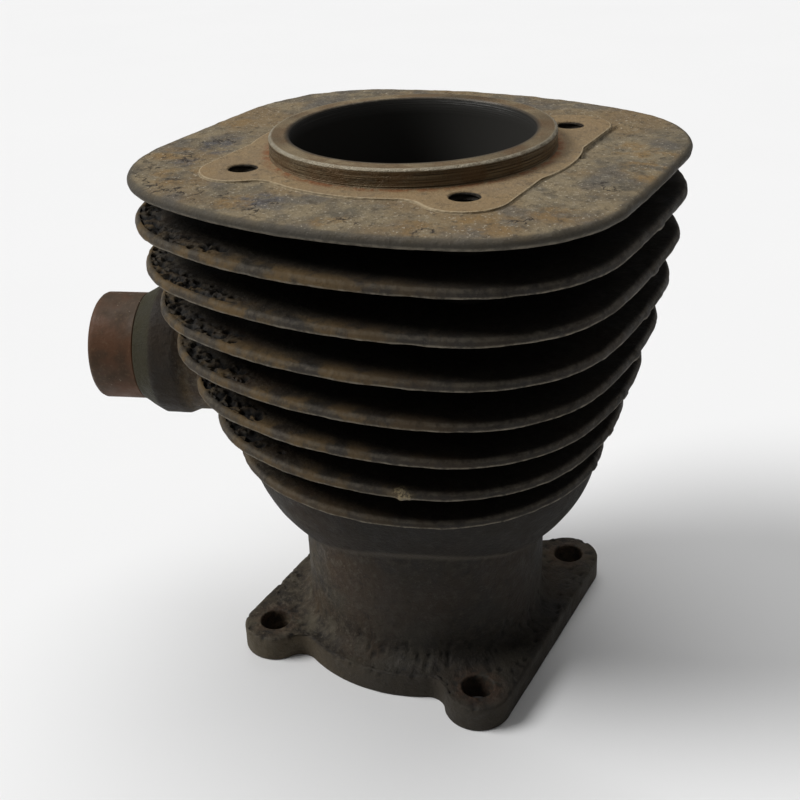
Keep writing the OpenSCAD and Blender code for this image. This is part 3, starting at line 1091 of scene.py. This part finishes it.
def rusty_casting():
    """The casting's material: the masks painted on its points choose between the colours."""
    m = Nodes("rusty_casting")
    broad = m.noise(30, 3, seed=1)
    middle = m.noise(8, 5, 0.62, seed=2)
    small = m.noise(2.2, 6, 0.68, seed=3)
    grain = m.noise(0.7, 3, 0.6, seed=4)
    turned_ring = m.attribute("turned")
    bore = m.attribute("bore")

    color = m.mix(m.attribute("deck"), iron_color(m, broad, middle, small, grain),
                  deck_color(m, broad, middle, small, grain))
    color = edge_color(m, color, middle, small)
    orange = m.product(m.attribute("orange"), m.step(small, 0.38, 0.56))
    color = m.mix(orange, color, ORANGE_RUST)
    # painted highlight along the belly's foot
    color = m.mix(m.share(m.attribute("belly_foot_highlight"), 0.4), color, BELLY_FOOT_HIGHLIGHT)

    lathe_lines = m.noise(1.0, 3, 0.7, stretch=(0.02, 0.02, 3.0), seed=5)
    ring_color = m.mix(m.step(lathe_lines, 0.35, 0.65), DARK_GROOVE, TURNED_IRON)
    ring_color = m.mix(m.share(m.step(middle, 0.42, 0.6), 0.65), ring_color, BROWN_RING)
    color = m.mix(turned_ring, color, ring_color)
    bright = m.product(m.attribute("bright"), m.step(small, 0.3, 0.6, 0.4, 1.0))
    color = m.mix(bright, color, BRIGHT_EDGE)
    collar_color = m.mix(middle, DARK_COLLAR, COLLAR_BROWN)
    color = m.mix(m.share(m.attribute("collar"), 0.85), color, collar_color)
    seat_color = m.mix(middle, DARK_SEAT, OLIVE_SEAT)
    color = m.mix(m.share(m.attribute("seat"), 0.85), color, seat_color)
    color = m.mix(bore, color, BORE_GREY)
    color = m.mix(m.attribute("pit"), color, PIT)

    roughness = m.step(middle, 0.3, 0.7, 0.6, 0.85)
    roughness = m.blend(turned_ring, roughness, 0.45)
    roughness = m.blend(bore, roughness, 0.4)
    rough_share = m.math("SUBTRACT", 1.0, bore)
    normal = m.bump(m.product(grain, rough_share), 0.25, 0.7)
    normal = m.bump(m.product(small, rough_share), 0.8, 0.8, normal)
    normal = m.bump(m.product(turned_ring, lathe_lines), 0.3, 0.7, normal)
    return m.finish(color, roughness, normal, m.share(turned_ring, 0.35), 0.25)


def rusty_tube():
    """Turned steel with an even red-brown rust and a few scratches."""
    m = Nodes("rusty_tube")
    broad = m.noise(16, 3, seed=7)
    middle = m.noise(5, 5, seed=8)
    small = m.noise(1.0, 5, 0.6, seed=9)
    color = m.mix(m.step(broad, 0.4, 0.62), RED_RUST, BROWN_RUST)
    color = m.mix(m.share(m.step(middle, 0.48, 0.66), 0.6), color, DARK_RUST)
    color = m.mix(m.share(m.step(small, 0.54, 0.68), 0.25), color, RUST_SPECK)
    scratches = m.noise(1.6, 4, 0.7, stretch=(0.25, 1.0, 0.3), seed=14)
    color = m.mix(m.share(m.step(scratches, 0.66, 0.7), 0.6), color, SCRATCH)
    roughness = m.step(middle, 0.3, 0.7, 0.55, 0.75)
    return m.finish(color, roughness, m.bump(small, 0.2, 0.6), 0.05, 0.25)


def floor_finish():
    m = Nodes("studio_floor")
    shade = m.mix(m.noise(120, 2), (0.81, 0.81, 0.81), (0.83, 0.83, 0.83))
    return m.finish(shade, 0.9, m.bump(m.noise(3, 2), 0.02, 0.1))


# ---------------------------------------------------------------- studio

def add_floor():
    size = 3000
    corners = [(-size, -size, 0), (size, -size, 0), (size, size, 0), (-size, size, 0)]
    floor = mesh_object("studio_floor", corners, [[0, 1, 2, 3]])
    floor.data.materials.append(floor_finish())


def add_sun(name, direction, strength, soft_degrees):
    """A soft lamp that shines from that direction."""
    lamp = bpy.data.lights.new(name, "SUN")
    lamp.energy = strength
    lamp.angle = math.radians(soft_degrees)
    obj = bpy.data.objects.new(name, lamp)
    bpy.context.scene.collection.objects.link(obj)
    obj.rotation_mode = "QUATERNION"
    obj.rotation_quaternion = (-Vector(direction)).to_track_quat("-Z", "Y")


def add_world(strength):
    world = bpy.data.worlds.new("studio")
    world.use_nodes = True
    sky = world.node_tree.nodes["Background"]
    sky.inputs["Color"].default_value = (1, 1, 1, 1)
    sky.inputs["Strength"].default_value = strength
    bpy.context.scene.world = world


def add_camera():
    """A camera that looks down on the front, with the port to its left."""
    camera = bpy.data.cameras.new("camera")
    camera.lens = 51.8
    camera.sensor_width = 36
    camera.clip_start = 0.01
    camera.clip_end = 20
    obj = bpy.data.objects.new("camera", camera)
    bpy.context.scene.collection.objects.link(obj)
    place = Vector((131.5, -245.8, 218.05))
    right = Vector((0.88042, 0.47280, -0.03639))
    forward = Vector((-0.43308, 0.77045, -0.46782))
    up = right.cross(forward)
    turn = Matrix((right, up, -forward)).transposed().to_4x4()
    obj.matrix_world = Matrix.Translation(place * MM) @ turn
    bpy.context.scene.camera = obj


# ---------------------------------------------------------------- the scene

casting = build_casting()
casting.data.materials.clear()
casting.data.materials.append(rusty_casting())
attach(casting, "root")
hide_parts("cylinder_barrel")

stub = build_stub()
stub.data.materials.append(rusty_tube())
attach(stub, "root")
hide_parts("port_stub")

add_floor()
add_world(strength=0.13)
add_sun("key", direction=(-0.9, -0.48, 1.0), strength=2.5, soft_degrees=26)
add_sun("top", direction=(-0.15, 0.3, 1.0), strength=1.45, soft_degrees=50)
add_camera()
bpy.context.scene.view_settings.view_transform = "Standard"
